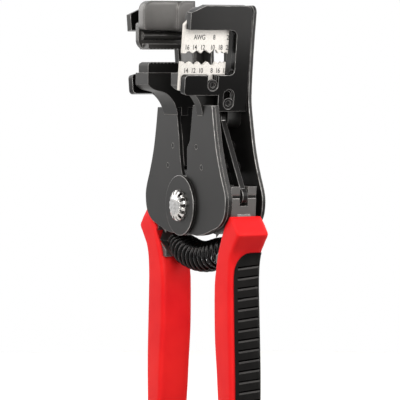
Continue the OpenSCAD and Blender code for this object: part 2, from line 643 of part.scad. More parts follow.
module handle_cover(side) color(red_grip) placed() on_side(side) difference() {
    grip_loft(0);
    inlay_bed(inlay_t);
    slab(-handle_d, handle_d) polygon(concat(spread(cut_line_shares, half_w, handle_l),
        [[0, cut_line_shares[4][1] * handle_l], [0, 0]]));
    slab(-grip_y + touch, grip_y) core_outline();
    slab(-tang_t / 2, tang_t / 2) tang_outline();
    slab(-yoke_w / 2, yoke_w / 2) hull() {
        seat_outline();
        translate([half_w * 0.6, 0]) square(over);
    }
    for (y = [-handle_d, grip_y - touch], a = [0, squeeze_deg / 2, squeeze_deg])
        slab(y, y + handle_d - grip_y + touch) rotate(a) offset(delta = plate_free) plate_low(1);
    spring_pocket();
}
module grip_handle_core() handle_core(-1);
module blade_handle_core() handle_core(1);
module grip_handle_cover() handle_cover(-1);
module blade_handle_cover() handle_cover(1);
module grip_handle_inlay() handle_inlay(-1);
module blade_handle_inlay() handle_inlay(1);

// Handle spring: one unbroken helical tube on a bowed line between the handles
bow_r = (spring_half * spring_half + spring_bow * spring_bow) / (2 * spring_bow);
bow_deg = asin(spring_half / bow_r);
bow_z = spring_end_z - spring_bow + bow_r;
coil_rings = 8;
wire_sides = 6;
pocket_deep = 3;
function bow_at(a) = [bow_r * sin(a), 0, bow_z - bow_r * cos(a)];
function bow_out(a) = [-sin(a), 0, cos(a)];
function coil_at(t) = let (a = bow_deg * (2 * t - 1), q = 360 * coil_turns * t)
    bow_at(a) + coil_r * (cos(q) * bow_out(a) + sin(q) * [0, 1, 0]);
coil_steps = coil_turns * coil_rings;
coil_mid = [for (k = [0:coil_steps]) coil_at(k / coil_steps)];
function along(a) = [cos(a), 0, sin(a)];
spring_path = concat([coil_mid[0] - wire_d * along(-bow_deg)], coil_mid,
    [coil_mid[coil_steps] + wire_d * along(bow_deg)]);
function unit(v) = v / norm(v);
function way(p, k) = k == 0 ? unit(p[1] - p[0]) : k == len(p) - 1 ? unit(p[k] - p[k - 1])
    : unit(p[k + 1] - p[k - 1]);
function axis_at(k) = let (a = bow_deg * (2 * max(0, min(1, (k - 1) / coil_steps)) - 1)) bow_at(a);
module handle_spring() color(dark_steel) placed() {
    n = wire_sides;
    last = len(spring_path) - 1;
    pts = [for (k = [0:last]) let (w = way(spring_path, k), o0 = spring_path[k] - axis_at(k),
        o = unit(o0 - (o0 * w) * w), s = cross(w, o)) for (j = [0:n - 1])
        spring_path[k] + wire_d / 2 * (cos(360 * j / n) * o + sin(360 * j / n) * s)];
    polyhedron(pts, concat(
        [for (k = [0:last - 1], j = [0:n - 1]) [k * n + j, (k + 1) * n + j, (k + 1) * n + (j + 1) % n]],
        [for (k = [0:last - 1], j = [0:n - 1]) [k * n + j, (k + 1) * n + (j + 1) % n, k * n + (j + 1) % n]],
        [for (j = [1:n - 2]) [0, j, j + 1]],
        [for (j = [1:n - 2]) [last * n, last * n + j + 1, last * n + j]]));
}
// Least gap between one turn and the next, measured on the tube's centre points
coil_gap = min([for (i = [0:len(spring_path) - 1], j = [i + coil_rings - 2:len(spring_path) - 1])
    norm(spring_path[i] - spring_path[j])]) - wire_d;
echo(least_gap_between_turns = coil_gap);
// Pocket for the spring's end in a handle, deep enough for the squeeze
module spring_pocket() translate(bow_at(bow_deg)) rotate([0, 90 - bow_deg, 0])
    translate([0, 0, -2 * coil_r])
        cylinder(r = coil_r + wire_d / 2 + 6 * touch, h = 2 * coil_r + wire_d + pocket_deep);

pivot_pin();
pivot_disc();
pivot_cap();
rear_washer();
rear_head();
grip_front_plate();
grip_back_plate();
grip_spacers();
grip_lower_jaw();
grip_lower_pad();
grip_guide_screws();
grip_jaw_plate();
grip_jaw_block();
grip_upper_pad();
grip_pad_screws();
grip_jaw_pin();
grip_strut();
grip_handle_core();
grip_yoke_pin();
grip_handle_cover();
grip_handle_inlay();
blade_front_plate();
blade_inner_plate();
blade_back_plate();
blade_spacers();
blade_lower_jaw();
lower_blade();
blade_guide_screws();
blade_jaw_plate();
blade_jaw_block();
upper_blade();
blade_screws();
blade_jaw_pin();
blade_strut();
blade_handle_core();
blade_yoke_pin();
blade_handle_cover();
blade_handle_inlay();
handle_spring();
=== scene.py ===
import bmesh
import bpy
import json
import math
from mathutils import Matrix, Vector


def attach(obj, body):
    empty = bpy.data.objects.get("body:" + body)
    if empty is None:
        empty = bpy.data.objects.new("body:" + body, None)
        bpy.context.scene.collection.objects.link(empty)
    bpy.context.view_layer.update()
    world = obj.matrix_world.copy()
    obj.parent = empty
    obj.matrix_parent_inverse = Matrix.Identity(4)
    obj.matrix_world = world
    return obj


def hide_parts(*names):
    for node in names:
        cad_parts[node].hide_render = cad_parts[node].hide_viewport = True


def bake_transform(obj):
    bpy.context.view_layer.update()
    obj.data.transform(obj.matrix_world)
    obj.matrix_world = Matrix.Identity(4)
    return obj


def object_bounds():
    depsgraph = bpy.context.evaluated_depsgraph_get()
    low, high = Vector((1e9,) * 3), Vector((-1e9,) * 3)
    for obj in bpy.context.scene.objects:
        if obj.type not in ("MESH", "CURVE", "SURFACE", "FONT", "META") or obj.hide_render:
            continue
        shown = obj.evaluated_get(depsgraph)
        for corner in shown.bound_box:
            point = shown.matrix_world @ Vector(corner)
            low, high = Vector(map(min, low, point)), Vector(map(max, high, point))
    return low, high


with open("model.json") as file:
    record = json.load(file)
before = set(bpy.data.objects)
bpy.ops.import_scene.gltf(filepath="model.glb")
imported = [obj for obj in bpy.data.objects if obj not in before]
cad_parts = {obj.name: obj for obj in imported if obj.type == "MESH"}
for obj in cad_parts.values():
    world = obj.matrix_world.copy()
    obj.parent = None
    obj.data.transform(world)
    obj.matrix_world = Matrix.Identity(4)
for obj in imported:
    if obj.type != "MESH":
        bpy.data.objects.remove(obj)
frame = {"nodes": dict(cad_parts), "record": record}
cad_low, cad_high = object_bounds()
nodes = frame["nodes"]

# The object's own measures are in millimetres, and MM turns them into metres
MM = 0.001
MID_Y = -13.15 * MM  # the tool's middle plane
LEAN = math.radians(7.8)  # outward lean of the jaw heads
LEAN_FOOT = (25.8, 49.0)  # x and z of the place where the lean starts


def leaned(x, y, z):
    """A point of the leaning right-hand head, given in mm about the middle plane, in metres."""
    dx = x - LEAN_FOOT[0]
    dz = z - LEAN_FOOT[1]
    turned_x = LEAN_FOOT[0] + dx * math.cos(LEAN) + dz * math.sin(LEAN)
    turned_z = LEAN_FOOT[1] - dx * math.sin(LEAN) + dz * math.cos(LEAN)
    return Vector((turned_x * MM, y * MM + MID_Y, turned_z * MM))


def clamped(t):
    return max(0.0, min(1.0, t))


def eased(t):
    """From 0 to 1 with no corner at either end."""
    return t * t * (3 - 2 * t)


# Shader nodes that the materials share

MIX_A = 6  # the colour sockets of a mix node
MIX_B = 7
MIX_OUT = 2
BEVEL_SAMPLES = 6
EDGE_STARTS = 0.02  # how far the rounded normal turns from the face where an edge starts and where it is full
EDGE_FULL = 0.18


def new_material(name):
    m = bpy.data.materials.new(name)
    m.use_nodes = True
    m.node_tree.nodes.clear()
    return m, m.node_tree.nodes, m.node_tree.links


def plain_shader(name):
    """A material with one shader, and the object's own coordinates for its textures."""
    m, n, l = new_material(name)
    out = n.new("ShaderNodeOutputMaterial")
    p = n.new("ShaderNodeBsdfPrincipled")
    l.new(p.outputs[0], out.inputs[0])
    vec = n.new("ShaderNodeTexCoord").outputs["Object"]
    return m, n, l, p, vec


def noise(n, l, vec, scale, detail, rough=0.55):
    t = n.new("ShaderNodeTexNoise")
    t.inputs["Scale"].default_value = scale
    t.inputs["Detail"].default_value = detail
    t.inputs["Roughness"].default_value = rough
    l.new(vec, t.inputs["Vector"])
    return t.outputs["Fac"]


def remap(n, l, src, span, onto=(0, 1)):
    """Stretches the span of a value onto another one, and holds it at the ends."""
    m = n.new("ShaderNodeMapRange")
    for k, v in zip(("From Min", "From Max", "To Min", "To Max"), (*span, *onto)):
        m.inputs[k].default_value = v
    l.new(src, m.inputs["Value"])
    return m.outputs["Result"]


def mix_colour(n, l, fac, a, b):
    m = n.new("ShaderNodeMix")
    m.data_type = "RGBA"
    l.new(fac, m.inputs[0])
    for i, c in ((MIX_A, a), (MIX_B, b)):
        if isinstance(c, tuple):
            m.inputs[i].default_value = (*c, 1)
        else:
            l.new(c, m.inputs[i])
    return m.outputs[MIX_OUT]


def rounded_normal(n, radius):
    """The normal of the surface with its edges rounded by a radius in mm."""
    bev = n.new("ShaderNodeBevel")
    bev.samples = BEVEL_SAMPLES
    bev.inputs["Radius"].default_value = radius * MM
    return bev.outputs[0]


def edge_mask(n, l, normal):
    """1 on the outer edges of a solid, 0 on its faces, from the rounded normal."""
    dot = n.new("ShaderNodeVectorMath")
    dot.operation = "DOT_PRODUCT"
    l.new(normal, dot.inputs[0])
    l.new(n.new("ShaderNodeNewGeometry").outputs["True Normal"], dot.inputs[1])
    return remap(n, l, dot.outputs["Value"], (1 - EDGE_STARTS, 1 - EDGE_FULL))


def add_bump(n, l, p, height, normal, strength, depth):
    """A shallow relief, its depth in mm, on top of the rounded normal."""
    bump = n.new("ShaderNodeBump")
    bump.inputs["Strength"].default_value = strength
    bump.inputs["Distance"].default_value = depth * MM
    l.new(height, bump.inputs["Height"])
    l.new(normal, bump.inputs["Normal"])
    l.new(bump.outputs[0], p.inputs["Normal"])


# The materials

BARE_STEEL_AND_HIGHLIGHT = (0.62, 0.6, 0.58)
BARE_AND_HIGHLIGHT_METALLIC = 0.75
BLOTCH_DARK = 0.82  # the coat's tone in its darkest and lightest blotches
BLOTCH_LIGHT = 1.2
LEAST_WEAR_AND_HIGHLIGHT = 0.4  # share of the edge wear and painted highlight that is there everywhere
BLADE_GRAIN = (9000, 700, 9000)  # scale of the noise in x, y and z
# The upward part of the normal between which a rubber groove's wall goes from plain to pale with painted
# light, from near black with painted shade to plain, and from dull to plain
WALL_PAINTED_LIGHT = (0.25, 0.5)
WALL_PAINTED_SHADE = (-0.5, -0.25)
WALL_DULL = (-0.5, -0.2)


def coated_steel(name, base, rough, spec, edge_wear_and_highlight=0.0, edge_r=0.25, grain=0.05, metallic=0.0, soft_r=None):
    """Dark coated steel: faint blotches, a fine grain and edges made brighter, partly rubbed wear and partly
    a painted highlight. Radii are in mm.
    """
    m, n, l, p, vec = plain_shader(name)
    dark = tuple(c * BLOTCH_DARK for c in base)
    light = tuple(c * BLOTCH_LIGHT for c in base)
    blotch = noise(n, l, vec, scale=70, detail=3)
    tone = mix_colour(n, l, remap(n, l, blotch, (0.35, 0.7)), dark, light)
    fine = noise(n, l, vec, scale=5200, detail=3, rough=0.7)
    normal = rounded_normal(n, edge_r)
    p.inputs["Metallic"].default_value = metallic
    # Edges made brighter and more metallic: partly rubbed wear, partly a painted highlight along the edges
    if edge_wear_and_highlight:
        patches = noise(n, l, vec, scale=420, detail=5)
        wear_and_highlight = n.new("ShaderNodeMath")
        wear_and_highlight.operation = "MULTIPLY"
        l.new(edge_mask(n, l, normal), wear_and_highlight.inputs[0])
        l.new(remap(n, l, patches, (0.3, 0.62), (edge_wear_and_highlight * LEAST_WEAR_AND_HIGHLIGHT, edge_wear_and_highlight)), wear_and_highlight.inputs[1])
        tone = mix_colour(n, l, wear_and_highlight.outputs[0], tone, BARE_STEEL_AND_HIGHLIGHT)
        l.new(remap(n, l, wear_and_highlight.outputs[0], (0, 1), (metallic, BARE_AND_HIGHLIGHT_METALLIC)), p.inputs["Metallic"])
    l.new(tone, p.inputs["Base Color"])
    l.new(remap(n, l, fine, (0.2, 0.8), (rough - grain, rough + grain)), p.inputs["Roughness"])
    p.inputs["Specular IOR Level"].default_value = spec
    if soft_r:
        normal = rounded_normal(n, soft_r)
    add_bump(n, l, p, fine, normal, strength=0.05, depth=0.05)
    return m


def ground_steel(name):
    """Pale blade steel, grained along the blade and faintly mottled."""
    m, n, l, p, vec = plain_shader(name)
    stretch = n.new("ShaderNodeMapping")
    stretch.inputs["Scale"].default_value = BLADE_GRAIN
    l.new(vec, stretch.inputs["Vector"])
    lines = noise(n, l, stretch.outputs[0], scale=1.0, detail=2)
    mottle = noise(n, l, vec, scale=2600, detail=4, rough=0.75)
    tone = mix_colour(n, l, remap(n, l, mottle, (0.35, 0.65)), (0.53, 0.515, 0.49), (0.74, 0.72, 0.683))
    normal = rounded_normal(n, 0.15)
    # Painted highlight: the blade's edges are made paler
    tone = mix_colour(n, l, edge_mask(n, l, normal), tone, (0.9, 0.9, 0.88))
    l.new(tone, p.inputs["Base Color"])
    p.inputs["Metallic"].default_value = 0.12
    p.inputs["Specular IOR Level"].default_value = 0.2
    l.new(remap(n, l, lines, (0.3, 0.7), (0.38, 0.52)), p.inputs["Roughness"])
    add_bump(n, l, p, mottle, normal, strength=0.12, depth=0.03)
    return m


def chrome(name):
    """Bright plating, a little cloudy."""
    m, n, l, p, vec = plain_shader(name)
    clouds = noise(n, l, vec, scale=900, detail=4)
    tone = mix_colour(n, l, remap(n, l, clouds, (0.3, 0.7)), (0.36, 0.352, 0.345), (0.56, 0.55, 0.54))
    l.new(tone, p.inputs["Base Color"])
    p.inputs["Metallic"].default_value = 1
    fine = noise(n, l, vec, scale=3000, detail=3)
    l.new(remap(n, l, fine, (0.3, 0.7), (0.1, 0.2)), p.inputs["Roughness"])
    return m


def moulded_red(name):
    """Satin red vinyl with a faint moulding skin."""
    m, n, l, p, vec = plain_shader(name)
    clouds = noise(n, l, vec, scale=45, detail=3)
    tone = mix_colour(n, l, remap(n, l, clouds, (0.3, 0.7)), (0.73, 0.012, 0.016), (0.83, 0.02, 0.02))
    l.new(tone, p.inputs["Base Color"])
    skin = noise(n, l, vec, scale=3800, detail=3, rough=0.6)
    l.new(remap(n, l, skin, (0.25, 0.75), (0.4, 0.5)), p.inputs["Roughness"])
    p.inputs["Subsurface Weight"].default_value = 0.06
    p.inputs["Subsurface Radius"].default_value = (1.0, 0.2, 0.1)
    p.inputs["Subsurface Scale"].default_value = 0.8 * MM
    p.inputs["Specular IOR Level"].default_value = 0.08
    add_bump(n, l, p, skin, rounded_normal(n, 1.2), strength=0.06, depth=0.05)
    return m


def soft_rubber(name):
    """Black rubber: groove walls that face up are painted pale as painted light from above, those that face
    down are painted near black as painted shade, and are dull.
    """
    m, n, l, p, vec = plain_shader(name)
    grain = noise(n, l, vec, scale=2600, detail=4, rough=0.7)
    clouds = noise(n, l, vec, scale=120, detail=3)
    clouds = remap(n, l, clouds, (0.3, 0.7))
    tone = mix_colour(n, l, clouds, (0.0045, 0.0043, 0.0042), (0.009, 0.0086, 0.0083))
    split = n.new("ShaderNodeSeparateXYZ")
    l.new(n.new("ShaderNodeTexCoord").outputs["Normal"], split.inputs[0])
    rise = split.outputs["Z"]
    # Painted light: walls that face up are made pale
    tone = mix_colour(n, l, remap(n, l, rise, WALL_PAINTED_LIGHT), tone, (0.056, 0.054, 0.053))
    # Painted shade: walls that face down are made near black
    tone = mix_colour(n, l, remap(n, l, rise, WALL_PAINTED_SHADE, (1, 0)), tone, (0.001, 0.001, 0.001))
    l.new(tone, p.inputs["Base Color"])
    l.new(remap(n, l, grain, (0.25, 0.75), (0.4, 0.54)), p.inputs["Roughness"])
    # The export drops this link, and may show the rubber glossier than a render does
    l.new(remap(n, l, rise, WALL_DULL, (0, 0.07)), p.inputs["Specular IOR Level"])
    add_bump(n, l, p, grain, rounded_normal(n, 0.4), strength=0.12, depth=0.05)
    return m


def print_ink(name):
    """Black ink with thin spots."""
    m, n, l, p, vec = plain_shader(name)
    spots = noise(n, l, vec, scale=4000, detail=3)
    tone = mix_colour(n, l, remap(n, l, spots, (0.35, 0.65)), (0.012, 0.0115, 0.011), (0.035, 0.033, 0.032))
    l.new(tone, p.inputs["Base Color"])
    p.inputs["Roughness"].default_value = 0.6
    return m


def worn_and_highlit_edge(name):
    """The narrow rounded edge of a coated piece: dark coat rubbed through to bright steel in places, its
    brightness partly a painted highlight along the edge.
    """
    m, n, l, p, vec = plain_shader(name)
    rub_and_highlight = remap(n, l, noise(n, l, vec, scale=260, detail=5, rough=0.65), (0.36, 0.62), (0.25, 1))
    l.new(mix_colour(n, l, rub_and_highlight, (0.02, 0.0195, 0.019), (0.27, 0.265, 0.26)), p.inputs["Base Color"])
    l.new(remap(n, l, rub_and_highlight, (0, 1), (0.2, 0.7)), p.inputs["Metallic"])
    fine = noise(n, l, vec, scale=3000, detail=3)
    l.new(remap(n, l, fine, (0.3, 0.7), (0.26, 0.4)), p.inputs["Roughness"])
    return m


COATED = {
    "black_steel": dict(base=(0.0075, 0.0073, 0.0071), rough=0.4, spec=0.19, edge_wear_and_highlight=0.6, edge_r=0.32),
    "dark_steel": dict(base=(0.0075, 0.0073, 0.0071), rough=0.36, spec=0.1, edge_wear_and_highlight=0.6),
    "jaw_steel": dict(base=(0.0036, 0.0035, 0.0034), rough=0.2, spec=0.07, edge_wear_and_highlight=0.7, edge_r=0.4,
                      grain=0.03),
    "screw_steel": dict(base=(0.004, 0.0038, 0.0038), rough=0.24, spec=0.15, edge_wear_and_highlight=0.9, edge_r=0.3,
                        grain=0.03),
    "pad_steel": dict(base=(0.03, 0.029, 0.028), rough=0.26, spec=0.3, edge_wear_and_highlight=0.6, edge_r=0.3,
                      metallic=0.1),
    "block_steel": dict(base=(0.1, 0.097, 0.094), rough=0.3, spec=0.35, edge_wear_and_highlight=0.7, edge_r=0.3,
                        metallic=0.27, soft_r=2.4),
    "yoke_steel": dict(base=(0.08, 0.078, 0.076), rough=0.36, spec=0.35, edge_wear_and_highlight=0.6, edge_r=0.3,
                       metallic=0.25),
    "spring_wire": dict(base=(0.002, 0.002, 0.0019), rough=0.13, spec=0.12, grain=0.03),
}
OTHERS = {
    "blade_steel": ground_steel,
    "chrome_cap": chrome,
    "red_grip": moulded_red,
    "rubber_inlay": soft_rubber,
    "gauge_ink": print_ink,
    "worn_and_highlit_edge": worn_and_highlit_edge,
}
M = {name: coated_steel(name, **values) for name, values in COATED.items()}
M.update({name: make(name) for name, make in OTHERS.items()})

# Nodes whose steel looks other than their slot's, and the slots whose bevelled edges take the worn edge with
# its painted highlight
SPECIAL = {
    "blade_jaw_plate": "jaw_steel",
    "grip_jaw_plate": "jaw_steel",
    "grip_jaw_block": "block_steel",
    "grip_handle_core": "yoke_steel",
    "blade_handle_core": "yoke_steel",
    "blade_guide_screws": "screw_steel",
    "grip_guide_screws": "screw_steel",
    "grip_upper_pad": "pad_steel",
}
WORN_AND_HIGHLIT_SLOTS = ("black_steel", "dark_steel")

slot_of = {s["node"]: s["material_slot"] for s in frame["record"]["subparts"]}
for name, obj in nodes.items():
    obj.data.materials.clear()
    obj.data.materials.append(M[SPECIAL.get(name, slot_of[name])])
    # These slots' bevelled edges get the worn edge material, which is partly a painted highlight
    if slot_of[name] in WORN_AND_HIGHLIT_SLOTS:
        obj.data.materials.append(M["worn_and_highlit_edge"])


# The pieces that the scene makes itself

def mesh_object(name, verts, faces, body, slot, soft):
    """A mesh piece, smooth where its faces meet below the angle; with no body it is left unattached."""
    me = bpy.data.meshes.new(name)
    me.from_pydata(verts, [], faces)
    for poly in me.polygons:
        poly.use_smooth = True
    bm = bmesh.new()
    bm.from_mesh(me)
    bmesh.ops.recalc_face_normals(bm, faces=bm.faces)
    for e in bm.edges:
        if len(e.link_faces) == 2:
            e.smooth = e.calc_face_angle(0) < math.radians(soft)
    bm.to_mesh(me)
    bm.free()
    o = bpy.data.objects.new(name, me)
    bpy.context.scene.collection.objects.link(o)
    me.materials.append(M[slot])
    if body:
        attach(o, body)
    return o


# The handle spring: a bowed helix from seat to seat, thinner at both ends

HALF = 26.5  # from the middle to either seat
END_Z = -14.2
BOW = 7.7  # how far the middle hangs below the seats
BOW_R = (HALF * HALF + BOW * BOW) / (2 * BOW)
BOW_Z = END_Z - BOW + BOW_R
WIRE_R = 0.85  # radius of the wire
TURNS = 15
COIL_END_R = 3.4  # radius of the turns, to the middle of the wire
COIL_MID_R = 5.85
COIL_HALF = 25.5  # the turns end here, and a straight end of wire goes on to the seat
COIL_A = math.asin(COIL_HALF / BOW_R)
COIL_FULL = 0.75  # share of a sine's height at which the coil has its middle radius
LEAD = HALF - COIL_HALF + 2 * WIRE_R  # length of the straight end
STEPS_PER_TURN = 28
WIRE_SIDES = 14


def bow_at(a):
    """The middle of the coil, at an angle from the lowest point of the bow."""
    return Vector((BOW_R * math.sin(a), 0, BOW_Z - BOW_R * math.cos(a)))


def spring_mesh():
    path = []
    centre = []
    steps = TURNS * STEPS_PER_TURN
    for k in range(steps + 1):
        t = k / steps
        a = COIL_A * (2 * t - 1)
        q = 2 * math.pi * TURNS * t
        c = bow_at(a)
        out = Vector((-math.sin(a), 0, math.cos(a)))
        r = COIL_END_R + (COIL_MID_R - COIL_END_R) * eased(min(1.0, math.sin(math.pi * t) / COIL_FULL))
        path.append(c + r * (math.cos(q) * out + math.sin(q) * Vector((0, 1, 0))))
        centre.append(c)
    path = [path[0] - LEAD * Vector((math.cos(COIL_A), 0, -math.sin(COIL_A)))] + path
    path += [path[-1] + LEAD * Vector((math.cos(COIL_A), 0, math.sin(COIL_A)))]
    centre = [centre[0]] + centre + [centre[-1]]
    verts = []
    faces = []
    last = len(path) - 1
    for k, p in enumerate(path):
        way = (path[min(k + 1, last)] - path[max(k - 1, 0)]).normalized()
        o = p - centre[k]
        o = (o - o.dot(way) * way).normalized()
        s = way.cross(o)
        for j in range(WIRE_SIDES):
            q = 2 * math.pi * j / WIRE_SIDES
            v = p + WIRE_R * (math.cos(q) * o + math.sin(q) * s)
            verts.append((v.x * MM, v.y * MM + MID_Y, v.z * MM))
    for k in range(last):
        for j in range(WIRE_SIDES):
            a = k * WIRE_SIDES + j
            b = k * WIRE_SIDES + (j + 1) % WIRE_SIDES
            faces.append((a, b, b + WIRE_SIDES, a + WIRE_SIDES))
    faces.append(tuple(range(WIRE_SIDES)))
    faces.append(tuple(last * WIRE_SIDES + j for j in range(WIRE_SIDES)))
    return verts, faces


sv, sf = spring_mesh()
spring = mesh_object("coil_spring", sv, sf, None, "spring_wire", soft=50)
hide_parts("handle_spring")
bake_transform(spring)


# The rivet cap: a dome with a ring of dark pockets round its rim

CAP_R = 6.7
CAP_H = 2.8
PLATE_FRONT = 9.55  # from the middle plane to the front of the plates
DISC_GAP = 0.1
DISC_H = 1.5
CAP_Y = -(PLATE_FRONT + DISC_GAP + DISC_H)  # the cap stands on the disc
CAP_AROUND = 216
CAP_RINGS = 26
CAP_TEETH = 14
DOME_SHARE = 0.985  # how much of a half circle the dome's section takes
RIM_SHARE = 0.25  # height of the upright rim, as a share of the whole
POCKET_START = 0.68  # shares of the radius and of a tooth's wave at which a pocket starts, and its ramps
POCKET_RAMP = 0.06
TOOTH_START = 0.45
TOOTH_RAMP = 0.18
POCKET_FLOOR = 0.2
POCKET_DEPTH = 0.9
DARK_FROM = 0.7  # shares of the radius and of a tooth's wave where the cap's faces take the dark steel
DARK_TO = 1.01
DARK_TOOTH = 0.52


def tooth_wave(q):
    """1 in the middle of a pocket, 0 in the middle of a tooth."""
    return 0.5 + 0.5 * math.cos(CAP_TEETH * q)


def cap_mesh():
    verts = [(0, (CAP_Y - CAP_H) * MM + MID_Y, 0)]
    faces = []
    for i in range(1, CAP_RINGS + 1):
        s = i / CAP_RINGS
        for j in range(CAP_AROUND):
            q = 2 * math.pi * j / CAP_AROUND
            groove = clamped((tooth_wave(q) - TOOTH_START) / TOOTH_RAMP)
            near = eased(clamped((s - POCKET_START) / POCKET_RAMP))
            section = math.sqrt(max(0.0, 1 - (s * DOME_SHARE) ** 2))
            dome = CAP_H * (RIM_SHARE + (1 - RIM_SHARE) * section)
            h = dome - near * groove * (dome - POCKET_FLOOR) * POCKET_DEPTH
            r = CAP_R * s
            if i == CAP_RINGS:
                h = min(h, CAP_H * RIM_SHARE)
            verts.append((r * math.cos(q) * MM, (CAP_Y - h) * MM + MID_Y, r * math.sin(q) * MM))
    for j in range(CAP_AROUND):
        q = 2 * math.pi * j / CAP_AROUND
        verts.append((CAP_R * math.cos(q) * MM, CAP_Y * MM + MID_Y, CAP_R * math.sin(q) * MM))
    for j in range(CAP_AROUND):
        faces.append((0, 1 + j, 1 + (j + 1) % CAP_AROUND))
    for i in range(CAP_RINGS):
        for j in range(CAP_AROUND):
            a = 1 + i * CAP_AROUND + j
            b = 1 + i * CAP_AROUND + (j + 1) % CAP_AROUND
            faces.append((a, b, b + CAP_AROUND, a + CAP_AROUND))
    faces.append(tuple(1 + CAP_RINGS * CAP_AROUND + j for j in range(CAP_AROUND)))
    return verts, faces


cv, cf = cap_mesh()
cap = mesh_object("rivet_cap", cv, cf, "grip_half", "chrome_cap", soft=38)
cap.data.materials.append(M["screw_steel"])
for poly in cap.data.polygons:
    c = poly.center
    share = math.hypot(c.x, c.z) / (CAP_R * MM)
    if DARK_FROM < share < DARK_TO and tooth_wave(math.atan2(c.z, c.x)) > DARK_TOOTH:
        poly.material_index = 1
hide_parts("pivot_cap")


# The gauge numbers on the blades

INK_SIZE = 2.85
INK_LIFT = 0.02  # how far the ink stands off the steel
INK_THICK = 0.01
INK_BOLD = 0.05
INK_SPACING = 0.92
INK_WIDTH = 0.8  # the letters' width, as a share of the font's own


def number(text, face_x, y, z, name):
    """A printed number with its middle at y and z, on the leaning blade face that is at face_x."""
    cu = bpy.data.curves.new(name, "FONT")
    cu.body = text
    cu.size = INK_SIZE * MM
    cu.align_x = "CENTER"
    cu.align_y = "CENTER"
    cu.extrude = INK_THICK * MM
    cu.space_character = INK_SPACING
    cu.offset = INK_BOLD * MM
    o = bpy.data.objects.new(name, cu)
    bpy.context.scene.collection.objects.link(o)
    along = Vector((0, 1, 0))
    rise = Vector((math.sin(LEAN), 0, math.cos(LEAN)))
    out = along.cross(rise)
    at = leaned(face_x, y, z) + out * INK_LIFT * MM
    o.matrix_world = Matrix((
        (along.x * INK_WIDTH, rise.x, out.x, at.x),
        (along.y * INK_WIDTH, rise.y, out.y, at.y),
        (along.z * INK_WIDTH, rise.z, out.z, at.z),
        (0, 0, 0, 1)))
    cu.materials.append(M["gauge_ink"])
    return o


BLADE_LEN = 21.0
UPPER_FRONT = -21.7  # the blades' front ends, in y about the middle plane
LOWER_FRONT = -22.4
NOTCHES = (0.125, 0.305, 0.485, 0.7, 0.855, 0.955)  # their places, as shares of a blade's length
# Each row has a name, a body, the blade's front end and face, and the row's height.
# Then come its texts, each with the notch that it stands at and its shift from there.
ROWS = (
    ("upper", "blade_jaw", UPPER_FRONT, 22.0, 66.1,
     (("16", 0, -0.9), ("14", 1, -1.2), ("12", 2, -1.2), ("10", 3, -1.1), ("18", 4, -0.7), ("20", 5, 0.9))),
    ("top", "blade_jaw", UPPER_FRONT, 22.0, 70.3,
     (("AWG", 1, 0.9), ("8", 3, -0.6), ("22", 5, 1.0))),
    ("lower", "blade_half", LOWER_FRONT, 21.9, 56.4,
     (("14", 0, -0.1), ("12", 1, -0.4), ("10", 2, -0.7), ("8", 3, -0.1), ("16", 4, -0.5), ("18", 5, 0.7))),
)
for row, body, front, face_x, z, texts in ROWS:
    for k, (text, notch, shift) in enumerate(texts):
        o = number(text, face_x, front + BLADE_LEN * NOTCHES[notch] + shift, z, f"gauge_{row}_{k}")
        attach(o, body)


# Rounded edges and smooth shading of the CAD pieces

EDGE_ANGLE = 32  # degrees; edges sharper than this are rounded
SHADE_ANGLE = 50  # degrees; edges sharper than this stay crisp in the shading
FLAT_ANGLE = 0.4  # degrees; triangles that differ by less are one flat face
WELD_GAP = 0.001
EDGE_SEGMENTS = 2
FACE_WEIGHT = 100  # how much the large faces rule the normals of their corners
EDGE_WIDTH = 0.15
WIDTH_OF = {
    "black_steel": 0.25,
    "dark_steel": 0.2,
    "blade_steel": 0.08,
    "rubber_inlay": 0.12,
    "red_grip": 0.0,  # left as the CAD has it
}
SPACER_SPOTS = ((12.4, 25.0), (17.0, 16.5))  # x and z, where the spacers' ends lie flush in the plates
SPACER_CLEAR = 1.8  # edges nearer than this to such a spot stay sharp
# The nodes with such spots, and the side of the tool that they are on
SPACED = {
    "grip_front_plate": -1,
    "grip_back_plate": -1,
    "grip_spacers": -1,
    "blade_front_plate": 1,
    "blade_inner_plate": 1,
    "blade_back_plate": 1,
    "blade_spacers": 1,
}
REMADE = ("handle_spring", "pivot_cap")  # the scene's own pieces stand in for these


def geometry_group(name):
    """An empty node group that takes a geometry and gives one back."""
    g = bpy.data.node_groups.new(name, "GeometryNodeTree")
    for way in ("INPUT", "OUTPUT"):
        g.interface.new_socket("Geometry", in_out=way, socket_type="NodeSocketGeometry")
    return g, g.nodes, g.links


def compare(n, l, value, operation, limit):
    """Whether a value is above or below the limit."""
    c = n.new("FunctionNodeCompare")
    c.data_type = "FLOAT"
    c.operation = operation
    c.inputs[1].default_value = limit
    l.new(value, c.inputs[0])
    return c.outputs[0]


def smooth_group():
    """Shades faces smooth, but keeps the edges sharper than the angle crisp."""
    g, n, l = geometry_group("smooth_by_angle")
    faces = n.new("GeometryNodeSetShadeSmooth")
    faces.domain = "FACE"
    edges = n.new("GeometryNodeSetShadeSmooth")
    edges.domain = "EDGE"
    angle = n.new("GeometryNodeInputMeshEdgeAngle").outputs[0]
    l.new(n.new("NodeGroupInput").outputs[0], faces.inputs[0])
    l.new(faces.outputs[0], edges.inputs[0])
    l.new(compare(n, l, angle, "LESS_THAN", math.radians(SHADE_ANGLE)), edges.inputs["Shade Smooth"])
    l.new(edges.outputs[0], n.new("NodeGroupOutput").inputs[0])
    return g


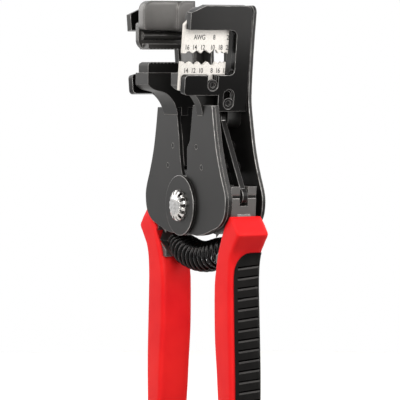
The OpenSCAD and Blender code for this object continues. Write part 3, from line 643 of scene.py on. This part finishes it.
def edge_group(side):
    """Marks the sharp edges for the bevel, but not the ones round the spacers' flush ends."""
    g, n, l = geometry_group("edges_to_round")
    flat = n.new("ShaderNodeVectorMath")
    flat.operation = "MULTIPLY"
    flat.inputs[1].default_value = (1, 0, 1)
    l.new(n.new("GeometryNodeInputPosition").outputs[0], flat.inputs[0])
    nearest = n.new("ShaderNodeMath")
    nearest.operation = "MINIMUM"
    for i, (x, z) in enumerate(SPACER_SPOTS):
        d = n.new("ShaderNodeVectorMath")
        d.operation = "DISTANCE"
        d.inputs[1].default_value = (side * x * MM, 0, z * MM)
        l.new(flat.outputs[0], d.inputs[0])
        l.new(d.outputs["Value"], nearest.inputs[i])
    angle = n.new("GeometryNodeInputMeshEdgeAngle").outputs[0]
    both = n.new("FunctionNodeBooleanMath")
    l.new(compare(n, l, nearest.outputs[0], "GREATER_THAN", SPACER_CLEAR * MM), both.inputs[0])
    l.new(compare(n, l, angle, "GREATER_THAN", math.radians(EDGE_ANGLE)), both.inputs[1])
    store = n.new("GeometryNodeStoreNamedAttribute")
    store.data_type = "FLOAT"
    store.domain = "EDGE"
    store.inputs["Name"].default_value = "bevel_weight_edge"
    l.new(n.new("NodeGroupInput").outputs[0], store.inputs["Geometry"])
    l.new(both.outputs[0], store.inputs["Value"])
    l.new(store.outputs[0], n.new("NodeGroupOutput").inputs[0])
    return g


SMOOTH = smooth_group()
ROUNDED = {side: edge_group(side) for side in (-1, 1)}


def round_edges(obj, width):
    """Joins the triangles of flat faces again, then rounds the sharp edges a little."""
    weld = obj.modifiers.new("weld", "WELD")
    weld.merge_threshold = WELD_GAP * MM
    flat = obj.modifiers.new("flat", "DECIMATE")
    flat.decimate_type = "DISSOLVE"
    flat.angle_limit = math.radians(FLAT_ANGLE)
    if width:
        if obj.name in SPACED:
            obj.modifiers.new("mark", "NODES").node_group = ROUNDED[SPACED[obj.name]]
        b = obj.modifiers.new("edge", "BEVEL")
        b.width = width * MM
        b.segments = EDGE_SEGMENTS
        b.limit_method = "WEIGHT" if obj.name in SPACED else "ANGLE"
        b.angle_limit = math.radians(EDGE_ANGLE)
        b.use_clamp_overlap = True
        # The bevel's faces take the second slot: the worn edge, partly a painted highlight
        if len(obj.data.materials) > 1:
            b.material = 1
    obj.modifiers.new("shade", "NODES").node_group = SMOOTH
    even = obj.modifiers.new("even", "WEIGHTED_NORMAL")
    even.keep_sharp = True
    even.weight = FACE_WEIGHT


for name, obj in nodes.items():
    if name not in REMADE:
        round_edges(obj, WIDTH_OF.get(slot_of[name], EDGE_WIDTH))


# The floor and the world; lengths from here on are in metres

FLOOR_R = 0.42
FLOOR_SIDES = 96
FLOOR_DROP = 0.0002
FLOOR_GLOW = 0.35
FLOOR_BOUNCE = 0.18
AMBIENT = 0.07
AMBIENT_COLOUR = (1.0, 0.98, 0.96, 1)
WHITE = (1, 1, 1, 1)


def background_rays(n, l):
    """1 for the rays that show the background: from the camera, off gloss and through glass."""
    path = n.new("ShaderNodeLightPath")
    most = path.outputs["Is Camera Ray"]
    for kind in ("Is Glossy Ray", "Is Transmission Ray"):
        m = n.new("ShaderNodeMath")
        m.operation = "MAXIMUM"
        l.new(most, m.inputs[0])
        l.new(path.outputs[kind], m.inputs[1])
        most = m.outputs[0]
    return most


def white_floor(name):
    """White where it is seen, with the shadow kept; dull for the light that it sends back."""
    m, n, l = new_material(name)
    out = n.new("ShaderNodeOutputMaterial")
    vec = n.new("ShaderNodeTexCoord").outputs["Object"]
    seen = n.new("ShaderNodeBsdfDiffuse")
    dull = n.new("ShaderNodeBsdfDiffuse")
    clouds = noise(n, l, vec, scale=30, detail=2)
    l.new(mix_colour(n, l, clouds, (0.86, 0.86, 0.86), (0.9, 0.9, 0.9)), seen.inputs[0])
    dull.inputs[0].default_value = (FLOOR_BOUNCE, FLOOR_BOUNCE, FLOOR_BOUNCE, 1)
    glow = n.new("ShaderNodeEmission")
    glow.inputs[0].default_value = WHITE
    glow.inputs[1].default_value = FLOOR_GLOW
    add = n.new("ShaderNodeAddShader")
    l.new(seen.outputs[0], add.inputs[0])
    l.new(glow.outputs[0], add.inputs[1])
    mix = n.new("ShaderNodeMixShader")
    l.new(background_rays(n, l), mix.inputs[0])
    l.new(dull.outputs[0], mix.inputs[1])
    l.new(add.outputs[0], mix.inputs[2])
    l.new(mix.outputs[0], out.inputs[0])
    return m


def white_world(n, l):
    """White where it is seen, and a dim even light on the object."""
    out = n.new("ShaderNodeOutputWorld")
    dim = n.new("ShaderNodeBackground")
    dim.inputs[0].default_value = AMBIENT_COLOUR
    dim.inputs[1].default_value = AMBIENT
    white = n.new("ShaderNodeBackground")
    white.inputs[0].default_value = WHITE
    white.inputs[1].default_value = 1.0
    mix = n.new("ShaderNodeMixShader")
    l.new(background_rays(n, l), mix.inputs[0])
    l.new(dim.outputs[0], mix.inputs[1])
    l.new(white.outputs[0], mix.inputs[2])
    l.new(mix.outputs[0], out.inputs[0])


floor_z = cad_low[2] - FLOOR_DROP
bpy.ops.mesh.primitive_circle_add(vertices=FLOOR_SIDES, radius=FLOOR_R, fill_type="NGON",
                                  location=(0, 0, floor_z))
floor = bpy.context.object
floor.name = "floor"
floor.data.materials.append(white_floor("floor_white"))

world = bpy.data.worlds.new("studio")
bpy.context.scene.world = world
world.use_nodes = True
world.node_tree.nodes.clear()
white_world(world.node_tree.nodes, world.node_tree.links)


# The camera's place, as it was worked out from the photo

AZ = math.radians(62.31)
EL = math.radians(2.61)
DIST = 1.2604
PHOTO_PX = 400
FOCAL_PX = 2970.7
SENSOR_MM = 36
NEAREST = 0.05
FARTHEST = 20
AIM_RIGHT = -1.05  # mm from the tool's middle to the middle of the picture, to the right and up
AIM_UP = 2.03

fwd = Vector((-math.sin(AZ) * math.cos(EL), math.cos(AZ) * math.cos(EL), -math.sin(EL)))
right = Vector((math.cos(AZ), math.sin(AZ), 0))
up = right.cross(fwd)
target = right * (AIM_RIGHT * MM) + up * (AIM_UP * MM) + Vector((0, MID_Y, 0))
eye = target - fwd * DIST


def placed(r, u, f):
    """A point to the right of, above and behind the target as the camera sees it."""
    return target + right * r + up * u + fwd * f


# The lamps: name, place, what each one faces, size, power and colour

HEAD_UP = 60  # mm from the target to the jaws
WARM = (1.0, 0.975, 0.95)
WARMER = (1.0, 0.95, 0.89)
head = target + Vector((0, 0, HEAD_UP * MM))
plate_aim = head + Vector((0, 0, 0.02))
block_aim = head + Vector((0, 0, 0.03))
LAMPS = (
    # Soft boxes that the dark steel mirrors: in its front faces, the leaning side plate and the grip block
    ("front_mirror", head + Vector((-0.62, -0.33, 0.24)), head, (0.55, 0.5), 2.2, WARM),
    ("plate_mirror", head + Vector((0.175, 0.095, -0.01)), plate_aim, (0.075, 0.05), 0.11, WARM),
    ("block_mirror", head + Vector((0.175, 0.095, 0.086)), block_aim, (0.08, 0.08), 0.23, WARM),
    # Lamps that light the whole object
    ("key", placed(-0.6, 0.5, -0.4), head, (0.35, 0.5), 6.0, WARMER),
    ("side", head + Vector((0.75, -0.25, 0.35)), head, (0.3, 0.3), 3.3, WARM),
    ("near_camera", placed(0.05, 0.1, -1.0), head, (0.25, 0.25), 2.6, WARM),
    ("top", placed(-0.05, 0.8, 0.05), head, (0.5, 0.5), 0.75, WARM),
    ("rim_right", placed(0.5, 0.15, 0.4), target, (0.12, 0.9), 2.0, WARM),
)
for name, at, aim, size, power, colour in LAMPS:
    d = bpy.data.lights.new(name, "AREA")
    d.shape = "RECTANGLE"
    d.size, d.size_y = size
    d.energy = power
    d.color = colour
    o = bpy.data.objects.new(name, d)
    bpy.context.scene.collection.objects.link(o)
    o.location = at
    o.visible_camera = False
    o.rotation_euler = (aim - at).to_track_quat("-Z", "Y").to_euler()


# The camera

cam_data = bpy.data.cameras.new("camera")
cam_data.sensor_width = SENSOR_MM
cam_data.lens = FOCAL_PX / PHOTO_PX * SENSOR_MM
cam_data.clip_start = NEAREST
cam_data.clip_end = FARTHEST
cam = bpy.data.objects.new("camera", cam_data)
bpy.context.scene.collection.objects.link(cam)
cam.matrix_world = Matrix((
    (right.x, up.x, -fwd.x, eye.x),
    (right.y, up.y, -fwd.y, eye.y),
    (right.z, up.z, -fwd.z, eye.z),
    (0, 0, 0, 1)))
bpy.context.scene.camera = cam
bpy.context.scene.view_settings.view_transform = "Standard"
